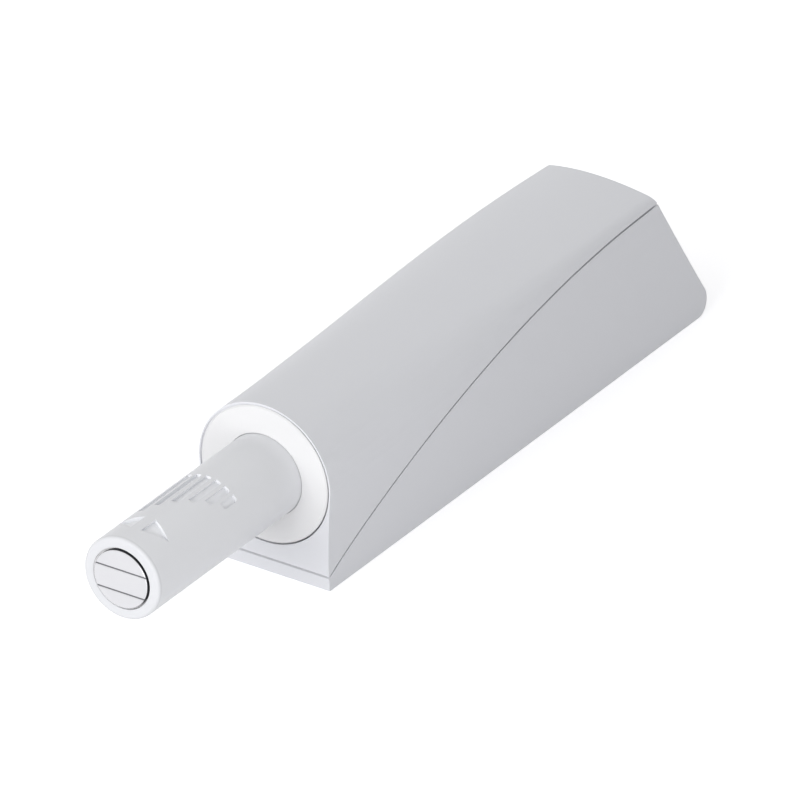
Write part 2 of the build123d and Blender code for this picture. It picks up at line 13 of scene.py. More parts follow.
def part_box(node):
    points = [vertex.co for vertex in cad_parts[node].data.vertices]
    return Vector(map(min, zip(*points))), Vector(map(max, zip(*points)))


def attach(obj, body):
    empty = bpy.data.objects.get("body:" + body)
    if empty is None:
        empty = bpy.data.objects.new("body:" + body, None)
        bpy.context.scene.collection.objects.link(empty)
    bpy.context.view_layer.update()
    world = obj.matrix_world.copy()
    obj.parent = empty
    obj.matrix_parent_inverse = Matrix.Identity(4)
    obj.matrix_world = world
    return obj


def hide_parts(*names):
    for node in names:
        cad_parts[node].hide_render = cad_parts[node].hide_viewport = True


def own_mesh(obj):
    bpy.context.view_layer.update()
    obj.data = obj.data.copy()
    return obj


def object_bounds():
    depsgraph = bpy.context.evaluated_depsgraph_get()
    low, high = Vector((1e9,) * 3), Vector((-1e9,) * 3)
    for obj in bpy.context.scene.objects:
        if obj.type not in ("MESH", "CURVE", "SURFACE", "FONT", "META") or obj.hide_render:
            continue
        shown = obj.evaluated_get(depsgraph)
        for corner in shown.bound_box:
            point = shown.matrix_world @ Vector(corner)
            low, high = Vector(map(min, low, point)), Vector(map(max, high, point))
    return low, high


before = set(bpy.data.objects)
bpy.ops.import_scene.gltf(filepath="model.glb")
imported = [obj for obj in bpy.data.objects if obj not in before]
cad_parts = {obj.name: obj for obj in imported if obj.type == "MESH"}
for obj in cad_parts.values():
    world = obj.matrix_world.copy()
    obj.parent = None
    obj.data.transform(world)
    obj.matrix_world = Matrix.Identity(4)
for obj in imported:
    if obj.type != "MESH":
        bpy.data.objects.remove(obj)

CAD_BOX = [list(corner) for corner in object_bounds()]
MM = 0.001
AXIS_HEIGHT = 9.75 * MM  # of the plunger's axis above the sole
MIX_SHARE, MIX_FIRST, MIX_SECOND, MIX_RESULT = 0, 6, 7, 2  # a colour Mix's sockets
log = logging.getLogger("push_catch")


# ---- Colour and nodes ----------------------------------------------------------------


def linear(colour: str) -> tuple[float, float, float, float]:
    """Turn an sRGB hex colour into linear RGBA.

    Args:
        colour: six hex digits with a leading #.

    Returns:
        Linear red, green and blue, and an alpha of 1.
    """
    parts = [int(colour[i : i + 2], 16) / 255 for i in (1, 3, 5)]
    lin = [c / 12.92 if c <= 0.04045 else ((c + 0.055) / 1.055) ** 2.4 for c in parts]
    return (lin[0], lin[1], lin[2], 1.0)


def add_node(
    tree: bpy.types.NodeTree,
    kind: str,
    values: dict[str | int, object] | None = None,
    links: dict[str | int, bpy.types.NodeSocket] | None = None,
    **settings: object,
) -> bpy.types.Node:
    """Add one node with its settings, socket values and incoming links.

    Args:
        tree: the node tree that gets it.
        kind: Blender's class name for the node.
        values: socket name or index to a fixed value.
        links: socket name or index to the output that feeds it.
        **settings: attributes of the node itself.

    Returns:
        The new node.
    """
    node = tree.nodes.new(kind)
    for name, value in settings.items():
        setattr(node, name, value)
    for socket, value in (values or {}).items():
        node.inputs[socket].default_value = value
    for socket, output in (links or {}).items():
        tree.links.new(output, node.inputs[socket])
    return node


def new_material(name: str) -> tuple[bpy.types.Material, bpy.types.NodeTree]:
    """Make an empty node material.

    Args:
        name: the material's name.

    Returns:
        The material and its node tree.
    """
    material = bpy.data.materials.new(name)
    material.use_nodes = True
    material.node_tree.nodes.clear()
    return material, material.node_tree


def object_place(tree: bpy.types.NodeTree) -> bpy.types.NodeSocket:
    """Give the Object coordinates of the point being shaded.

    Args:
        tree: the node tree that reads them.

    Returns:
        The coordinates' socket, in metres.
    """
    return add_node(tree, "ShaderNodeTexCoord").outputs["Object"]


# ---- Finishes ------------------------------------------------------------------------


@dataclass(frozen=True)
class MouldedPlastic:
    """Injection-moulded thermoplastic from a spark-eroded or polished tool.

    The eye sees a soft, broad sheen, a very fine even tooth, and hardly any change of
    tone, apart from faint flow clouding.
    """

    name: str
    colour: str
    cloud_colour: str
    roughness: float = 0.42
    roughness_spread: float = 0.05
    ior: float = 1.50
    tooth_mm: float = 0.12  # a real spark texture is near 0.05; coarser, so it shows
    tooth_depth_mm: float = 0.0022
    cloud_mm: float = 9.0

    @cache
    def material(self) -> bpy.types.Material:
        """Build the node material, once for each finish.

        Returns:
            A plastic whose colour and roughness drift by slow noise, with a fine bump.
        """
        material, tree = new_material(self.name)
        place = object_place(tree)
        cloud = add_node(
            tree,
            "ShaderNodeTexNoise",
            {"Scale": 1 / (self.cloud_mm * MM), "Detail": 3.0, "Roughness": 0.5},
            {"Vector": place},
        )
        tint = add_node(
            tree,
            "ShaderNodeMix",
            {
                MIX_FIRST: linear(self.colour),
                MIX_SECOND: linear(self.cloud_colour),
            },
            {MIX_SHARE: cloud.outputs["Fac"]},
            data_type="RGBA",
        )
        sheen = add_node(
            tree,
            "ShaderNodeMapRange",
            {
                "To Min": self.roughness - self.roughness_spread,
                "To Max": self.roughness + self.roughness_spread,
            },
            {"Value": cloud.outputs["Fac"]},
        )
        tooth = add_node(
            tree,
            "ShaderNodeTexNoise",
            {"Scale": 1 / (self.tooth_mm * MM), "Detail": 2.0, "Roughness": 0.6},
            {"Vector": place},
        )
        bump = add_node(
            tree,
            "ShaderNodeBump",
            {"Strength": 1.0, "Distance": self.tooth_depth_mm * MM},
            {"Height": tooth.outputs["Fac"]},
        )
        shader = add_node(
            tree,
            "ShaderNodeBsdfPrincipled",
            {"IOR": self.ior},
            {
                "Base Color": tint.outputs[MIX_RESULT],
                "Roughness": sheen.outputs["Result"],
                "Normal": bump.outputs["Normal"],
            },
        )
        add_node(tree, "ShaderNodeOutputMaterial", links={"Surface": shader.outputs[0]})
        return material


@dataclass(frozen=True)
class PlasticWithPaintedLight(MouldedPlastic):
    """Moulded plastic with painted light in its recessed marks and painted shade on its
    end.

    The sunk marks are painted a little brighter than the skin round them, a painted light
    that offsets the shade in the recesses.  They lie deeper than the skin's radius,
    between two stations on the axis.  The end in front of them is painted a shade greyer,
    a painted shade that dims its front face.
    """

    # painted light: brightens the sunk marks to offset the shade in them
    painted_mark_light_colour: str = "#E9EAED"
    # painted shade: greys the plunger's front end
    painted_end_shade_colour: str = "#D2D3D6"
    skin_radius: float = 4.0 * MM
    edge: float = 0.02 * MM  # slack, so that the skin itself never counts as sunk
    marks_from: float = -22.0 * MM
    marks_to: float = -8.0 * MM

    @cache
    def material(self) -> bpy.types.Material:
        """Build the node material, once for each finish.

        Returns:
            The moulded plastic, brighter as painted light where the distance from the axis
            is short of the skin's radius, between the marks' stations, and greyer as
            painted shade in front of them.
        """
        material = super().material()
        tree = material.node_tree
        shader = next(n for n in tree.nodes if n.type == "BSDF_PRINCIPLED")
        skin = shader.inputs["Base Color"].links[0].from_socket
        centred = add_node(
            tree,
            "ShaderNodeVectorMath",
            {1: (0.0, 0.0, AXIS_HEIGHT)},
            {0: object_place(tree)},
            operation="SUBTRACT",
        )
        axes = add_node(
            tree, "ShaderNodeSeparateXYZ", links={"Vector": centred.outputs[0]}
        )
        across = add_node(
            tree,
            "ShaderNodeCombineXYZ",
            links={"X": axes.outputs["X"], "Z": axes.outputs["Z"]},
        )
        radius = add_node(
            tree,
            "ShaderNodeVectorMath",
            links={0: across.outputs[0]},
            operation="LENGTH",
        )
        sunk = add_node(
            tree,
            "ShaderNodeMath",
            {1: self.skin_radius - self.edge},
            {0: radius.outputs["Value"]},
            operation="LESS_THAN",
        )
        middle = (self.marks_from + self.marks_to) / 2
        along = add_node(
            tree,
            "ShaderNodeMath",
            {1: middle, 2: (self.marks_to - self.marks_from) / 2},
            {0: axes.outputs["Y"]},
            operation="COMPARE",
        )
        painted_light_share = add_node(
            tree,
            "ShaderNodeMath",
            links={0: sunk.outputs[0], 1: along.outputs[0]},
            operation="MULTIPLY",
        )
        # painted light: the sunk marks between the stations get the brighter colour
        tint = add_node(
            tree,
            "ShaderNodeMix",
            {MIX_SECOND: linear(self.painted_mark_light_colour)},
            {MIX_SHARE: painted_light_share.outputs[0], MIX_FIRST: skin},
            data_type="RGBA",
        )
        # painted shade: everything in front of the marks gets the greyer colour
        painted_shade_share = add_node(
            tree,
            "ShaderNodeMath",
            {1: self.marks_from},
            {0: axes.outputs["Y"]},
            operation="LESS_THAN",
        )
        end_shaded_colour = add_node(
            tree,
            "ShaderNodeMix",
            {MIX_SECOND: linear(self.painted_end_shade_colour)},
            {MIX_SHARE: painted_shade_share.outputs[0], MIX_FIRST: tint.outputs[MIX_RESULT]},
            data_type="RGBA",
        )
        tree.links.new(end_shaded_colour.outputs[MIX_RESULT], shader.inputs["Base Color"])
        return material


class Lay(Enum):
    """Direction in which a metal surface was worked, as scales of its lines' noise."""

    ALONG = (1.0, 0.02, 1.0)
    ROUND = (0.05, 1.0, 0.05)
    FLAT = (0.04, 1.0, 1.0)
    EVEN = (1.0, 1.0, 1.0)


@dataclass(frozen=True)
class WorkedMetal:
    """Bare or plated metal with fine lines left by drawing, turning or grinding.

    The eye sees a bright, slightly streaked reflection that follows the working.
    """

    name: str
    colour: str
    stain_colour: str
    roughness: float
    lay: Lay = Lay.ALONG
    smooth_share: float = 0.80  # of the roughness, on the lines' crests
    rough_share: float = 1.25  # in their hollows
    line_mm: float = 0.08  # real lines are near 0.01; coarser, so they show
    line_depth_mm: float = 0.0015
    stain_mm: float = 2.5

    @cache
    def material(self) -> bpy.types.Material:
        """Build the node material, once for each finish.

        Returns:
            A metal with stretched noise as its lines, in roughness and bump.
        """
        material, tree = new_material(self.name)
        place = object_place(tree)
        stretched = add_node(
            tree,
            "ShaderNodeMapping",
            {"Scale": self.lay.value},
            {"Vector": place},
        )
        lines = add_node(
            tree,
            "ShaderNodeTexNoise",
            {"Scale": 1 / (self.line_mm * MM), "Detail": 3.0, "Roughness": 0.6},
            {"Vector": stretched.outputs["Vector"]},
        )
        stain = add_node(
            tree,
            "ShaderNodeTexNoise",
            {"Scale": 1 / (self.stain_mm * MM), "Detail": 4.0},
            {"Vector": place},
        )
        tint = add_node(
            tree,
            "ShaderNodeMix",
            {
                MIX_FIRST: linear(self.colour),
                MIX_SECOND: linear(self.stain_colour),
            },
            {MIX_SHARE: stain.outputs["Fac"]},
            data_type="RGBA",
        )
        sheen = add_node(
            tree,
            "ShaderNodeMapRange",
            {
                "To Min": self.roughness * self.smooth_share,
                "To Max": self.roughness * self.rough_share,
            },
            {"Value": lines.outputs["Fac"]},
        )
        bump = add_node(
            tree,
            "ShaderNodeBump",
            {"Strength": 1.0, "Distance": self.line_depth_mm * MM},
            {"Height": lines.outputs["Fac"]},
        )
        shader = add_node(
            tree,
            "ShaderNodeBsdfPrincipled",
            {"Metallic": 1.0},
            {
                "Base Color": tint.outputs[MIX_RESULT],
                "Roughness": sheen.outputs["Result"],
                "Normal": bump.outputs["Normal"],
            },
        )
        add_node(tree, "ShaderNodeOutputMaterial", links={"Surface": shader.outputs[0]})
        return material


@dataclass(frozen=True)
class Rubber:
    """Moulded elastomer or cured adhesive: dull, dark, with a faint powdery bloom."""

    name: str
    colour: str
    bloom_colour: str
    roughness: float = 0.75
    bloom_mm: float = 0.7
    bloom_depth_mm: float = 0.004

    @cache
    def material(self) -> bpy.types.Material:
        """Build the node material, once for each finish.

        Returns:
            A dull dark surface with noise between its colour and its bloom.
        """
        material, tree = new_material(self.name)
        bloom = add_node(
            tree,
            "ShaderNodeTexNoise",
            {"Scale": 1 / (self.bloom_mm * MM), "Detail": 5.0},
            {"Vector": object_place(tree)},
        )
        tint = add_node(
            tree,
            "ShaderNodeMix",
            {
                MIX_FIRST: linear(self.colour),
                MIX_SECOND: linear(self.bloom_colour),
            },
            {MIX_SHARE: bloom.outputs["Fac"]},
            data_type="RGBA",
        )
        bump = add_node(
            tree,
            "ShaderNodeBump",
            {"Strength": 1.0, "Distance": self.bloom_depth_mm * MM},
            {"Height": bloom.outputs["Fac"]},
        )
        shader = add_node(
            tree,
            "ShaderNodeBsdfPrincipled",
            {"Roughness": self.roughness},
            {
                "Base Color": tint.outputs[MIX_RESULT],
                "Normal": bump.outputs["Normal"],
            },
        )
        add_node(tree, "ShaderNodeOutputMaterial", links={"Surface": shader.outputs[0]})
        return material


HOUSING_ABS = MouldedPlastic("grey_abs_moulded", "#D3D4D8", "#D6D7DB")
BARREL_ACETAL = MouldedPlastic(
    "white_acetal_moulded", "#DADADB", "#DDDDDE", roughness=0.38, ior=1.48
)
# the plunger's plastic, with painted light in its marks and painted shade on its front end
PLUNGER_ACETAL = PlasticWithPaintedLight(
    "white_acetal_with_painted_light_and_shade", "#D9DADD", "#DCDDE0", roughness=0.38, ior=1.48
)
SLIDER_ACETAL = MouldedPlastic(
    "natural_acetal_moulded", "#E4E3DC", "#DDDCD4", roughness=0.36, ior=1.48
)
DRAWN_STEEL = WorkedMetal("drawn_bright_steel", "#B9BABD", "#A3A4A8", 0.30)
OILED_SPRING = WorkedMetal("oiled_spring_steel", "#8E8F93", "#77787D", 0.34, Lay.EVEN)
TURNED_BRASS = WorkedMetal("turned_brass", "#D9B36A", "#C69F58", 0.28, Lay.ROUND)
NICKEL_PLATE = WorkedMetal("satin_nickel_plate", "#E3E3E5", "#DBDBDE", 0.42, Lay.FLAT)
BUFFER_RUBBER = Rubber("nitrile_rubber_moulded", "#2A2A2C", "#3A3A3D")
JOINT_EPOXY = Rubber("cured_grey_epoxy", "#5C5D61", "#6B6C70", roughness=0.55)
SLEEVE_EPOXY = Rubber("cured_black_epoxy", "#242528", "#303135", roughness=0.45)


# ---- Meshes --------------------------------------------------------------------------


def grid_mesh(
    name: str,
    points: np.ndarray,
    wrap_u: bool = False,
    wrap_v: bool = True,
    poles: bool = False,
    crease: float = 35.0,
) -> bpy.types.Mesh:
    """Turn a grid of points into a mesh of quads.

    Args:
        name: the mesh's name.
        points: an array of rows, columns and x, y, z, in metres.
        wrap_u: the last row joins the first.
        wrap_v: the last column joins the first.
        poles: the first and last rows are each closed by a fan round their middle.
        crease: the angle in degrees past which an edge is shaded sharp.

    Returns:
        The mesh, smooth shaded, with its faces outwards where it is closed.
    """
    rows, columns = points.shape[:2]
    index = np.arange(rows * columns).reshape(rows, columns)
    spots = points.reshape(-1, 3)
    if wrap_u:
        index = np.vstack([index, index[:1]])
    if wrap_v:
        index = np.hstack([index, index[:, :1]])
    faces = np.stack(
        [index[:-1, :-1], index[:-1, 1:], index[1:, 1:], index[1:, :-1]], axis=-1
    ).reshape(-1, 4).tolist()
    if poles:
        middles = points[[0, -1]].mean(axis=1)
        spots = np.vstack([spots, middles])
        for row, pole in ((index[0], rows * columns), (index[-1], rows * columns + 1)):
            fan = np.stack([row[:-1], row[1:], np.full(len(row) - 1, pole)], axis=-1)
            faces += fan.tolist()
    mesh = bpy.data.meshes.new(name)
    mesh.from_pydata(spots.tolist(), [], faces)
    mesh.polygons.foreach_set("use_smooth", np.ones(len(faces), bool))
    if wrap_u or poles:
        turned = bmesh.new()
        turned.from_mesh(mesh)
        bmesh.ops.recalc_face_normals(turned, faces=turned.faces)
        turned.to_mesh(mesh)
        turned.free()
        mesh.set_sharp_from_angle(angle=math.radians(crease))
    mesh.update()
    return mesh


def round_axis(
    radius: np.ndarray | float,
    station: np.ndarray,
    turn: np.ndarray,
    height: float = AXIS_HEIGHT,
) -> np.ndarray:
    """Give points round an axis that runs along Y.

    A point's X is its radius times the sine of its turn, its Y is its station, and its
    Z is the axis's height plus its radius times the cosine, so a turn is right-handed
    about Y.

    Args:
        radius: distances from the axis, in metres.
        station: places along Y, in metres.
        turn: angles from straight up, in radians.
        height: the axis's height, in metres.

    Returns:
        An array of x, y, z in the broadcast shape of the three.
    """
    r, y, t = np.broadcast_arrays(radius, station, turn)
    return np.stack([r * np.sin(t), y, height + r * np.cos(t)], axis=-1)


@dataclass(frozen=True)
class GapRing:
    """A bead that fills a ring-shaped gap round the axis, unevenly deep.

    It is shallow on the side where the two parts bear on each other, and deep opposite.
    Sizes are in metres.
    """

    name: str
    inner: float
    outer: float
    shallow: float  # station of the bead's front on the bearing side
    deep: float  # station opposite
    rear: float
    bearing_side: float  # degrees from straight up, towards +X
    overlap: float = 0.02 * MM
    columns: int = 160

    def mesh(self) -> bpy.types.Mesh:
        """Make the bead.

        A rectangle runs round the axis, as wide as the gap.  Its front lies at the
        shallow station, plus the rest of the way to the deep one times the square of
        half of one minus the cosine of the angle from the bearing side.

        Returns:
            The closed ring.
        """
        turn = np.linspace(0, 2 * np.pi, self.columns, endpoint=False)
        away = (1 - np.cos(turn - math.radians(self.bearing_side))) / 2
        front = self.shallow + (self.deep - self.shallow) * away**2
        radius = np.array([self.inner, self.outer, self.outer, self.inner])[:, None]
        radius = radius + self.overlap * np.array([-1, 1, 1, -1])[:, None]
        rear = np.full_like(front, self.rear)
        station = np.stack([front, front, rear, rear])
        points = round_axis(radius, station, turn[None, :])
        return grid_mesh(self.name, points, wrap_u=True)


def stand_up(
    mesh: bpy.types.Mesh, body: str, finish: bpy.types.Material
) -> bpy.types.Object:
    """Place a finished mesh as a piece that rides on a body.

    Args:
        mesh: the mesh, with its place in its vertices.
        body: the body that it moves with.
        finish: its material.

    Returns:
        The piece.
    """
    piece = bpy.data.objects.new(mesh.name, mesh)
    bpy.context.scene.collection.objects.link(piece)
    mesh.materials.append(finish)
    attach(piece, body)
    log.info("%s: %d faces, on %s", piece.name, len(mesh.polygons), body)
    return piece


def dress(node: str, finish: bpy.types.Material) -> None:
    """Give a CAD node its finish.

    Args:
        node: the node's name.
        finish: its material.
    """
    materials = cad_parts[node].data.materials
    materials.clear()
    materials.append(finish)
    log.info("%s: %s", node, finish.name)


# ---- Sub-assemblies ------------------------------------------------------------------


@dataclass
class Housing:
    """The two moulded shells, and the bead that beds the collar in the cover."""

    shells: tuple[str, ...] = ("base", "cover")
    bead: GapRing = GapRing(
        "collar_bead",
        inner=6.70 * MM,
        outer=6.85 * MM,
        shallow=0.10 * MM,
        deep=1.0 * MM,
        rear=1.05 * MM,
        bearing_side=-45.0,
    )

    def build(self) -> None:
        """Dress both shells in the same moulded plastic and bed the collar."""
        for shell in self.shells:
            dress(shell, HOUSING_ABS.material())
        stand_up(
            self.bead.mesh(), "housing", HOUSING_ABS.material()
        )


@dataclass
class Cartridge:
    """Barrel, end cap, guide rod and retaining clip."""

    bright: tuple[str, ...] = ("spring_guide", "retaining_clip")

    def build(self) -> None:
        """Dress the cartridge's pieces."""
        dress("barrel", BARREL_ACETAL.material())
        dress("end_cap", SLIDER_ACETAL.material())
        for node in self.bright:
            dress(node, DRAWN_STEEL.material())


@dataclass
class EjectionSpring:
    """The coil that drives the plunger out, and shortens as the plunger goes in.

    One turn at each end is closed up, so that the coil stands square on the end cap and
    in the slider's pocket.  Sizes are in metres.
    """

    turns: int = 14
    closed_turns: float = 1.0
    closed_pitch: float = 0.45 * MM
    wire: float = 0.40 * MM
    travel: float = 20.0 * MM
    steps_per_turn: int = 40
    columns: int = 12

    def build(self) -> None:
        """Stand the coil in for its plain solid, on a mesh of its own."""
        spring = stand_up(
            self.coil(), "housing", OILED_SPRING.material()
        )
        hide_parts("ejection_spring")
        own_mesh(spring)

    def coil(self) -> bpy.types.Mesh:
        """Make the coil: a round section carried along a helix.

        The helix climbs by the closed pitch over each closed turn, and by an even pitch
        over the open ones.  At each step a point of the section lies the cosine of its
        angle away from the axis, and the sine square to that and to the helix, times
        the wire's radius.

        Returns:
            The closed coil.
        """
        low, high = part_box("ejection_spring")
        section = self.wire / 2
        centre = (low[2] + high[2]) / 2
        radius = (high[2] - low[2]) / 2 - section
        first, last = low[1] + section, high[1] - section
        wound = np.linspace(0, self.turns, self.turns * self.steps_per_turn + 1)
        closed = self.closed_turns * self.closed_pitch
        station = np.interp(
            wound,
            [0, self.closed_turns, self.turns - self.closed_turns, self.turns],
            [first, first + closed, last - closed, last],
        )
        turn = 2 * np.pi * wound
        helix = round_axis(radius, station, turn, centre)
        away = round_axis(1.0, np.zeros_like(turn), turn, 0.0)
        along = np.gradient(helix, axis=0)
        along /= np.linalg.norm(along, axis=1, keepdims=True)
        across = np.cross(along, away)
        around = np.linspace(0, 2 * np.pi, self.columns, endpoint=False)
        around = around[None, :, None]
        outline = np.cos(around) * away[:, None] + np.sin(around) * across[:, None]
        points = helix[:, None] + section * outline
        return grid_mesh("ejection_coil", points, poles=True)


@dataclass
class Screw:
    """The depth adjuster's spindle and nut.

    The thread has two starts, and its lead is the travel that one turn of the plunger
    gives.  It runs from the spindle's tip to thread_end and fades over the run-out.
    Sizes are in metres.
    """

    lead: float = 1.5 * MM
    starts: int = 2
    thread_depth: float = 0.26 * MM
    thread_end: float = -1.2 * MM
    run_out: float = 0.5 * MM
    tip_bevel: float = 0.35 * MM
    knurl_from: float = 5.5 * MM
    knurl_teeth: int = 24
    knurl_depth: float = 0.06 * MM
    nut_play: float = 0.06 * MM
    nut_teeth: int = 36
    nut_knurl_depth: float = 0.10 * MM
    nut_groove_half: float = 0.30 * MM
    nut_groove_depth: float = 0.20 * MM
    nut_bevel: float = 0.20 * MM
    spindle_rows: int = 260
    spindle_columns: int = 72
    nut_rows: int = 90
    nut_columns: int = 216

    def build(self) -> None:
        """Stand the threaded spindle and the knurled nut in for their plain solids."""
        spindle = stand_up(self.spindle(), "slider", DRAWN_STEEL.material())
        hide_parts("adjuster_spindle")
        nut = stand_up(self.nut(), "plunger", TURNED_BRASS.material())
        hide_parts("adjuster_nut")

    def thread(self, station: np.ndarray, turn: np.ndarray) -> np.ndarray:
        """Give the height of the thread's ridge, from 0 in the root to 1 on the crest.

        The phase is the station over the lead, less the turn over a full turn, times
        the starts.  Its distance from a whole number makes a triangle wave, which is
        cut off above and below, so that root, crest and each flank are a quarter of
        the pitch.

        Args:
            station: places along the axis, in metres.
            turn: angles round it, in radians.

        Returns:
            The ridge's height at each point.
        """
        phase = self.starts * (station / self.lead - turn / (2 * np.pi))
        wave = 2 * np.abs(phase - np.round(phase))
        return np.clip(2 * wave - 0.5, 0, 1)

    def spindle(self) -> bpy.types.Mesh:
        """Make the spindle: bevelled tip, thread, plain shank and knurled root.

        At each station the radius is the full one, less the thread's depth where its
        ridge is low, less a straight knurl's depth times the square of a cosine at the
        root, and less the tip's bevel, which falls in a straight line.

        Returns:
            The closed spindle.
        """
        low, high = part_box("adjuster_spindle")
        full = high.x
        y = np.linspace(low.y, high.y, self.spindle_rows)[:, None]
        turn = np.linspace(0, 2 * np.pi, self.spindle_columns, endpoint=False)[None, :]
        fade = np.clip((self.thread_end - y) / self.run_out, 0, 1)
        cut = self.thread_depth * (1 - self.thread(y, turn)) * fade
        teeth = np.cos(self.knurl_teeth * turn / 2) ** 2
        cut = cut + self.knurl_depth * teeth * (y > self.knurl_from)
        bevel = np.clip(self.tip_bevel - (y - low.y), 0, None)
        radius = np.minimum(full - cut, full - bevel)
        points = round_axis(radius, y, turn)
        return grid_mesh("threaded_spindle", points, poles=True, crease=50.0)

    def nut(self) -> bpy.types.Mesh:
        """Make the press-in nut: two crossed-knurled bands, a groove, a threaded bore.

        The outline runs along the outside from front to rear and back through the bore.
        Outside, the knurl's depth is cut away in the share that one exceeds the greater
        of two squared cosines, which lean opposite ways along the nut.  A groove runs
        round the middle, and both ends are bevelled.  Inside, ridges fill the grooves
        of the spindle's thread, with a small play all over.

        Returns:
            The closed nut.
        """
        low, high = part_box("adjuster_nut")
        outer = high.x
        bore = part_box("adjuster_spindle")[1].x + self.nut_play
        turn = np.linspace(0, 2 * np.pi, self.nut_columns, endpoint=False)[None, :]
        y = np.linspace(low.y, high.y, self.nut_rows)[:, None]
        lean = (y - low.y) / outer
        left = np.cos(self.nut_teeth * (turn + lean) / 2) ** 2
        right = np.cos(self.nut_teeth * (turn - lean) / 2) ** 2
        middle = np.abs(y - (low.y + high.y) / 2) < self.nut_groove_half
        end = np.minimum(y - low.y, high.y - y)
        bevel = np.clip(self.nut_bevel - end, 0, None)
        cut = self.nut_knurl_depth * (1 - np.maximum(left, right)) + bevel
        outside = np.where(middle, outer - self.nut_groove_depth, outer - cut)
        inside = bore - self.thread_depth * (1 - self.thread(y, turn))
        inside = np.where(end < self.nut_bevel, bore, inside)
        points = np.concatenate(
            [
                round_axis(outside, y, turn),
                round_axis(inside, y, turn)[::-1],
            ]
        )
        return grid_mesh("knurled_nut", points, wrap_u=True, crease=50.0)


@dataclass
class Latch:
    """Slider, wire, ring and buffer."""

    def build(self) -> None:
        """Dress the latch's pieces."""
        dress("latch_slider", SLIDER_ACETAL.material())
        dress("detent_ring", SLIDER_ACETAL.material())
        dress("latch_wire", DRAWN_STEEL.material())
        dress("stop_buffer", BUFFER_RUBBER.material())


@dataclass
class Plunger:
    """Plunger tube, the magnet pack in its tip, and the pack's adhesive.

    The joints' adhesive and the film round the pack lie a setback behind the plates'
    fronts.  Sizes are in metres.
    """

    plates: tuple[str, ...] = ("pole_plate_upper", "magnet", "pole_plate_lower")
    pack_radius: float = 2.80 * MM
    film: float = 0.015 * MM
    film_setback: float = 0.06 * MM
    joint_setback: float = 0.05 * MM
    joint_overlap: float = 0.01 * MM
    columns: int = 128
    bead: GapRing = GapRing(
        "pack_bead",
        inner=2.82 * MM,
        outer=3.0 * MM,
        shallow=-22.36 * MM,
        deep=-21.4 * MM,
        rear=-21.3 * MM,
        bearing_side=-115.0,
        overlap=0.003 * MM,
    )

    def build(self) -> None:
        """Dress the plunger's pieces and glue the pack."""
        dress("plunger", PLUNGER_ACETAL.material())
        stand_up(
            self.bead.mesh(), "plunger", BARREL_ACETAL.material()
        )
        for plate in self.plates:
            dress(plate, NICKEL_PLATE.material())
        dress("magnet_seat", SLIDER_ACETAL.material())
        dress("magnet_cushion", BUFFER_RUBBER.material())
        stand_up(self.sleeve(), "plunger", SLEEVE_EPOXY.material())
        upper, middle, lower = (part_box(plate) for plate in self.plates)
        for name, below, above in (
            ("upper_joint_adhesive", middle, upper),
            ("lower_joint_adhesive", lower, middle),
        ):
            mesh = self.joint(name, below[1].z, above[0].z, below[0].y, below[1].y)
            stand_up(mesh, "plunger", JOINT_EPOXY.material())

    def sleeve(self) -> bpy.types.Mesh:
        """Make the film of adhesive round the pack.

        A rectangle as thick as the film runs round the axis, over the plates' sides.

        Returns:
            The closed sleeve.
        """
        low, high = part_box("magnet")
        turn = np.linspace(0, 2 * np.pi, self.columns, endpoint=False)[None, :]
        inner, outer = self.pack_radius - self.film, self.pack_radius + self.film
        front, rear = low.y + self.film_setback, high.y
        radius = np.array([inner, outer, outer, inner])[:, None]
        station = np.array([front, front, rear, rear])[:, None]
        points = round_axis(radius, station, turn)
        return grid_mesh("pack_adhesive_sleeve", points, wrap_u=True)

    def joint(
        self, name: str, bottom: float, top: float, front: float, rear: float
    ) -> bpy.types.Mesh:
        """Make the adhesive between two plates.

        Its outline is a thin slab whose ends are on the pack's circle: half its width
        is the root of the pack's radius squared less the height squared.  The outline
        runs from just behind the plates' fronts to their rears.

        Args:
            name: the piece's name.
            bottom: the lower plate's top, in metres.
            top: the upper plate's bottom.
            front: the plates' front.
            rear: the plates' rear.

        Returns:
            The closed slab.
        """
        low, high = bottom - self.joint_overlap, top + self.joint_overlap
        z = np.array([low, high, high, low])
        side = np.array([1.0, 1.0, -1.0, -1.0])
        half = np.sqrt(self.pack_radius**2 - (z - AXIS_HEIGHT) ** 2)
        y = np.array([front + self.joint_setback, rear])[:, None]
        x, y, z = np.broadcast_arrays(side * half, y, z)
        return grid_mesh(name, np.stack([x, y, z], axis=-1), poles=True)


# ---- Studio --------------------------------------------------------------------------


@dataclass(frozen=True)
class Sun:
    """One broad distant light."""

    name: str
    towards: tuple[float, float, float]  # the way that it comes from
    strength: float  # watts a square metre
    angle: float  # its width in the sky, in degrees

    def build(self) -> None:
        """Hang the light."""
        lamp = bpy.data.lights.new(self.name, "SUN")
        lamp.energy = self.strength
        lamp.angle = math.radians(self.angle)
        light = bpy.data.objects.new(self.name, lamp)
        light.rotation_euler = Vector(self.towards).to_track_quat("Z", "Y").to_euler()
        light.visible_glossy = False  # a diffuser: no hot spot at a low glance
        bpy.context.scene.collection.objects.link(light)


@dataclass(frozen=True)
class Softbox:
    """One square soft lamp that stands close to the catch and faces it."""

    name: str
    place: tuple[float, float, float]  # metres, as its aim and side are
    aim: tuple[float, float, float]
    side: float
    power: float  # watts

    def build(self) -> None:
        """Stand the lamp up."""
        lamp = bpy.data.lights.new(self.name, "AREA")
        lamp.shape = "SQUARE"
        lamp.size = self.side
        lamp.energy = self.power
        light = bpy.data.objects.new(self.name, lamp)
        light.location = self.place
        facing = Vector(self.place) - Vector(self.aim)
        light.rotation_euler = facing.to_track_quat("Z", "Y").to_euler()
        bpy.context.scene.collection.objects.link(light)


